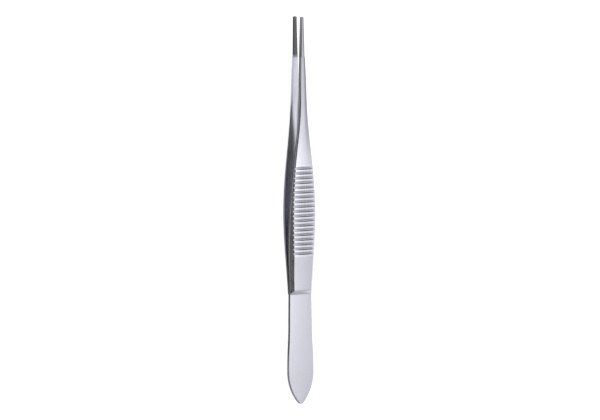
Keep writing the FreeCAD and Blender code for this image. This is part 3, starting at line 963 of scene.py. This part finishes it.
def grinding_lines() -> bpy.types.NodeTree:
    """Fine lines that grinding leaves along the arm: noise drawn out along Y, coarse and fine together.

    Returns:
        The node group.
    """
    nodes, given, result = new_group("GrindingLines", {"Across": 9000.0, "Along": 260.0}, "Lines")
    place = nodes.add("ShaderNodeTexCoord").outputs["Object"]
    fine_share = 0.6
    parts = []
    for share, detail in ((1.0, 4.0), (0.31, 2.0)):
        across = nodes.math("MULTIPLY", given.outputs["Across"], share)
        along = nodes.math("MULTIPLY", given.outputs["Along"], share)
        stretch = nodes.add("ShaderNodeCombineXYZ", {"X": across, "Y": along, "Z": across})
        scaled = nodes.add("ShaderNodeVectorMath", {0: place, 1: stretch.outputs[0]}, operation="MULTIPLY")
        noise = nodes.add("ShaderNodeTexNoise", {
            "Scale": 1.0, "Detail": detail, "Roughness": 0.6, "Vector": scaled.outputs[0]})
        parts.append(noise.outputs["Fac"])
    coarse = nodes.math("MULTIPLY", parts[1], 1.0 - fine_share)
    nodes.feed(result.inputs["Lines"], nodes.math("MULTIPLY_ADD", parts[0], fine_share, coarse))
    return nodes.tree


def soft_clouds() -> bpy.types.NodeTree:
    """Broad soft patches of a hand-held polish, a few millimetres long.

    Returns:
        The node group.
    """
    nodes, given, result = new_group("SoftClouds", {"Scale": 160.0}, "Cloud")
    mapping = nodes.add("ShaderNodeMapping", {
        "Scale": (1.0, 0.45, 1.0), "Vector": nodes.add("ShaderNodeTexCoord").outputs["Object"]})
    noise = nodes.add("ShaderNodeTexNoise", {
        "Scale": given.outputs["Scale"], "Detail": 2.0, "Roughness": 0.45,
        "Vector": mapping.outputs["Vector"]})
    nodes.feed(result.inputs["Cloud"], noise.outputs["Fac"])
    return nodes.tree


def rubbing_highlight_mask() -> bpy.types.NodeTree:
    """Bright rubbing on broken edges and painted highlights on the crests of the ribs and the groove ends,
    broken up by a noise.

    Returns:
        The node group.
    """
    nodes, given, result = new_group("RubbingAndPaintedHighlight", {"Scale": 1400.0}, "Mask")
    rubbed_and_highlit = nodes.add("ShaderNodeAttribute", attribute_name="rubbing_and_highlight").outputs["Fac"]
    noise = nodes.add("ShaderNodeTexNoise", {
        "Scale": given.outputs["Scale"], "Detail": 3.0,
        "Vector": nodes.add("ShaderNodeTexCoord").outputs["Object"]})
    patchy = nodes.add("ShaderNodeMapRange", {
        "Value": noise.outputs["Fac"], "From Min": 0.35, "From Max": 0.65, "To Min": 0.45})
    nodes.feed(result.inputs["Mask"], nodes.math("MULTIPLY", rubbed_and_highlit, patchy.outputs["Result"]))
    return nodes.tree


@dataclass(frozen=True)
class SatinSteel:
    """Satin stainless steel with fine grinding lines along the arm, rubbed bright on its edges, and with
    painted highlights and painted shade.
    """

    name: str = "satin_steel_ground"
    cool: tuple[float, float, float, float] = colour(0.715, 0.725, 0.8)
    warm: tuple[float, float, float, float] = colour(0.77, 0.77, 0.84)
    rubbed_and_highlit: tuple[float, float, float, float] = colour(0.92, 0.92, 0.95)
    # Painted shade: the tone the dark attribute mixes towards.
    painted_shade_tone: tuple[float, float, float, float] = colour(0.05, 0.05, 0.057)
    streak: tuple[float, float, float, float] = colour(0.62, 0.62, 0.66)
    streak_share: float = 0.25
    rubbed_and_highlit_share: float = 0.6
    smooth: float = 0.19
    rough: float = 0.32
    line_range: tuple[float, float] = (0.3, 0.7)
    cloud_dulling: float = 0.08
    wear_polish: float = -0.07
    line_depth: float = 1.2e-6
    line_strength: float = 0.8

    def build(self) -> bpy.types.Material:
        """Makes the material.

        Returns:
            The finished material.
        """
        material, nodes = new_material(self.name)
        lines = nodes.add("ShaderNodeGroup", node_tree=grinding_lines()).outputs["Lines"]
        cloud = nodes.add("ShaderNodeGroup", node_tree=soft_clouds()).outputs["Cloud"]
        rubbed_and_highlit = nodes.add("ShaderNodeGroup", node_tree=rubbing_highlight_mask()).outputs["Mask"]
        dark = nodes.add("ShaderNodeAttribute", attribute_name="dark").outputs["Fac"]

        body = nodes.mix(cloud, self.cool, self.warm)
        streaked = nodes.mix(nodes.math("MULTIPLY", lines, self.streak_share), body, self.streak)
        # Painted shade: the dark attribute mixes the steel towards a near-black tone.
        shaded = nodes.mix(dark, streaked, self.painted_shade_tone)
        # Rubbing and painted highlights mix the steel towards a pale tone.
        final = nodes.mix(nodes.math("MULTIPLY", rubbed_and_highlit, self.rubbed_and_highlit_share), shaded, self.rubbed_and_highlit)

        roughness = nodes.add("ShaderNodeMapRange", {
            "Value": lines, "From Min": self.line_range[0], "From Max": self.line_range[1],
            "To Min": self.smooth, "To Max": self.rough})
        clouded = nodes.math("MULTIPLY_ADD", cloud, self.cloud_dulling, roughness.outputs["Result"])
        polished = nodes.math("MULTIPLY_ADD", rubbed_and_highlit, self.wear_polish, clouded)
        bump = nodes.add("ShaderNodeBump", {
            "Strength": self.line_strength, "Distance": self.line_depth, "Height": lines})
        shader = nodes.add("ShaderNodeBsdfPrincipled", {
            "Base Color": final, "Metallic": 1.0, "Roughness": polished, "Normal": bump.outputs["Normal"]})
        nodes.add("ShaderNodeOutputMaterial", {"Surface": shader.outputs["BSDF"]})
        return material


@dataclass
class Studio:
    """Pale floor, soft light and the camera at the photograph's angle.

    Places and sizes are in metres, angles in degrees, lens and sensor in millimetres. A pixel is the
    picture's own, in millimetres on the part, and the tail end's place is in pixels.
    """

    floor_size: tuple[float, float] = (3.0, 3.0)
    floor_colour: tuple[float, float, float, float] = colour(0.8, 0.8, 0.81)
    floor_glow: float = 0.6
    camera_elevation: float = 56.0
    camera_pitch: float = 5.0
    camera_roll: float = -0.35
    pixel: float = 0.2629
    picture_width: int = 600
    tail_below_middle: float = 193.9
    tail_beside_middle: float = 1.75
    lens: float = 400.0
    sensor: float = 36.0
    clip: tuple[float, float] = (0.1, 10.0)
    lamp_place: tuple[float, float, float] = (0.25, 0.1, 0.9)
    lamp_side: float = 0.7
    lamp_power: float = 0.8
    flag_place: tuple[float, float, float] = (-0.5, 0.0, 0.22)
    flag_size: tuple[float, float] = (1.2, 0.4)
    flag_shade: float = 0.05
    sky_stops: tuple[tuple[float, tuple[float, float, float, float]], ...] = (
        (0.2, colour(0.48, 0.48, 0.49)), (0.95, colour(0.9, 0.9, 0.91)))

    def panel(self, name: str, size: tuple[float, float], material: bpy.types.Material) -> bpy.types.Object:
        """Adds a flat rectangle, centred on the origin.

        Args:
            name: Its name.
            size: Its width and height.
            material: Its finish.

        Returns:
            The panel.
        """
        wide, tall = size[0] / 2.0, size[1] / 2.0
        mesh = bpy.data.meshes.new(name)
        mesh.from_pydata([(-wide, -tall, 0), (wide, -tall, 0), (wide, tall, 0), (-wide, tall, 0)],
                         [], [(0, 1, 2, 3)])
        mesh.materials.append(material)
        panel = new_object(name, mesh)
        return panel

    def face_part(self, item: bpy.types.Object, place: tuple[float, float, float], front: str) -> None:
        """Moves an object to a place and turns it to the part.

        Args:
            item: The object.
            place: Where it goes.
            front: The axis of its own that faces the part.
        """
        item.location = place
        item.rotation_mode = "QUATERNION"
        item.rotation_quaternion = (-Vector(place)).to_track_quat(front, "Y")

    def floor(self) -> None:
        """Lays a plain pale floor under the part."""
        material, nodes = new_material("pale_paper")
        paper = nodes.add("ShaderNodeBsdfDiffuse", {"Color": self.floor_colour})
        path = nodes.add("ShaderNodeLightPath")
        seen = nodes.math("MAXIMUM", path.outputs["Is Camera Ray"], path.outputs["Is Transmission Ray"])
        seen = nodes.math("MAXIMUM", seen, path.outputs["Is Glossy Ray"])
        glow = nodes.add("ShaderNodeEmission", {"Strength": nodes.math("MULTIPLY", seen, self.floor_glow)})
        both = nodes.add("ShaderNodeAddShader", {0: paper.outputs["BSDF"], 1: glow.outputs["Emission"]})
        nodes.add("ShaderNodeOutputMaterial", {"Surface": both.outputs["Shader"]})
        self.panel("floor", self.floor_size, material)

    def flag(self, name: str) -> None:
        """Hangs a plain dark card that faces the part and that only reflections see.

        Args:
            name: The card's name.
        """
        material, nodes = new_material(f"{name}_board")
        grey = colour(self.flag_shade, self.flag_shade, self.flag_shade)
        board = nodes.add("ShaderNodeBsdfDiffuse", {"Color": grey})
        nodes.add("ShaderNodeOutputMaterial", {"Surface": board.outputs["BSDF"]})
        card = self.panel(name, self.flag_size, material)
        self.face_part(card, self.flag_place, "Z")
        card.visible_camera = False
        card.visible_diffuse = False
        card.visible_shadow = False

    def lamp(self, name: str) -> None:
        """Hangs a soft square lamp that faces the part.

        Args:
            name: The lamp's name.
        """
        data = bpy.data.lights.new(name, "AREA")
        data.size = self.lamp_side
        data.energy = self.lamp_power
        self.face_part(new_object(name, data), self.lamp_place, "-Z")

    def sky(self) -> None:
        """Surrounds the part with soft light that grows from the horizon to overhead."""
        world = bpy.data.worlds.new("soft_room")
        bpy.context.scene.world = world
        world.use_nodes = True
        nodes = Nodes(world.node_tree)
        place = nodes.add("ShaderNodeTexCoord").outputs["Generated"]
        height = nodes.add("ShaderNodeSeparateXYZ", {0: place}).outputs["Z"]
        ramp = nodes.add("ShaderNodeValToRGB", {"Fac": height})
        for element, (stop, tone) in zip(ramp.color_ramp.elements, self.sky_stops):
            element.position = stop
            element.color = tone
        background = nodes.add("ShaderNodeBackground", {"Color": ramp.outputs["Color"]})
        nodes.add("ShaderNodeOutputWorld", {"Surface": background.outputs[0]})

    def camera(self, pair: Pair) -> None:
        """Sets the camera at the photograph's angle.

        The direction to the camera rises from the arm's left edge and leans towards the tips. The aim is
        found from the tail end, which stands a known number of pixels under the picture's middle.

        Args:
            pair: The arms, which give the place of the tail end.
        """
        rise, lean = math.radians(self.camera_elevation), math.radians(self.camera_pitch)
        roll = math.radians(self.camera_roll)
        back = np.array([-math.cos(rise) * math.cos(lean), math.sin(lean),
                         math.sin(rise) * math.cos(lean)])
        up = np.array([0.0, 1.0, 0.0]) - math.sin(lean) * back
        up /= np.linalg.norm(up)
        right = np.cross(-back, up)
        right, up = (right * math.cos(roll) + up * math.sin(roll),
                     up * math.cos(roll) - right * math.sin(roll))
        turn = pair.turn()
        back, right, up = (turn @ axis for axis in (back, right, up))
        tail_end = pair.place(np.array([0.0, 0.0, pair.upper.leaf.thickness]))
        aim = tail_end + (up * self.tail_below_middle - right * self.tail_beside_middle) * self.pixel * MM
        away = self.pixel * MM * self.picture_width * self.lens / self.sensor

        data = bpy.data.cameras.new("photo_camera")
        data.lens = self.lens
        data.sensor_width = self.sensor
        data.clip_start, data.clip_end = self.clip
        camera = new_object("photo_camera", data)
        frame = Matrix.Identity(4)
        for column, axis in enumerate((right, up, back, aim + back * away)):
            for line in range(3):
                frame[line][column] = float(axis[line])
        camera.matrix_world = frame
        bpy.context.scene.camera = camera
        log.info("camera %.3f m away, elevation %.2f degrees", away, math.degrees(math.asin(back[2])))

    def build(self, pair: Pair) -> None:
        """Sets up floor, light and camera.

        Args:
            pair: The arms, which give the place of the tail end.
        """
        self.floor()
        self.sky()
        self.lamp("overhead_softbox")
        self.flag("left_flag")
        self.camera(pair)
        bpy.context.scene.view_settings.view_transform = "Standard"


def main() -> None:
    """Loads the frame, dresses it and sets the studio."""
    logging.basicConfig(level=logging.INFO, format="%(name)s: %(message)s")
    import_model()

    pair = Pair()
    pair.build(SatinSteel().build())
    Studio().build(pair)


if __name__ == "__main__":
    main()
